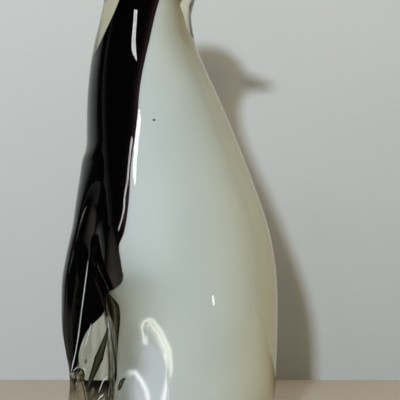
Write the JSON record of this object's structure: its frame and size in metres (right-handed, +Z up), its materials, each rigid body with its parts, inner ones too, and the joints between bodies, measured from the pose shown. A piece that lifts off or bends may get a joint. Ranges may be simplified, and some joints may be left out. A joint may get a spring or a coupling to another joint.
{
  "type": "glass penguin figurine",
  "caption": "Standing penguin figurine in cased art glass: white body with a black strip down the back under thick clear glass, and a pinched clear tail fin.",
  "frame": {"origin": "on the ground under the middle of the figure's length, from the tail fin to the toes", "axes": "+X the way the penguin faces, +Y to its left, +Z up"},
  "size_m": [0.1148, 0.088, 0.247],
  "materials": {
    "clear_glass": "fire-polished clear glass with a faint straw tint",
    "white_glass": "opaque opal white glass",
    "black_glass": "opaque very dark amethyst glass",
    "amber_glass": "opaque amber glass"
  },
  "bodies": {
    "root": {"clear_casing": "clear_glass", "white_core": "white_glass", "black_back": "black_glass", "tail": "clear_glass", "beak": "amber_glass", "right_eye": "white_glass", "left_eye": "white_glass", "right_pupil": "black_glass", "left_pupil": "black_glass", "right_foot": "clear_glass", "left_foot": "clear_glass"}
  },
  "joints": []
}
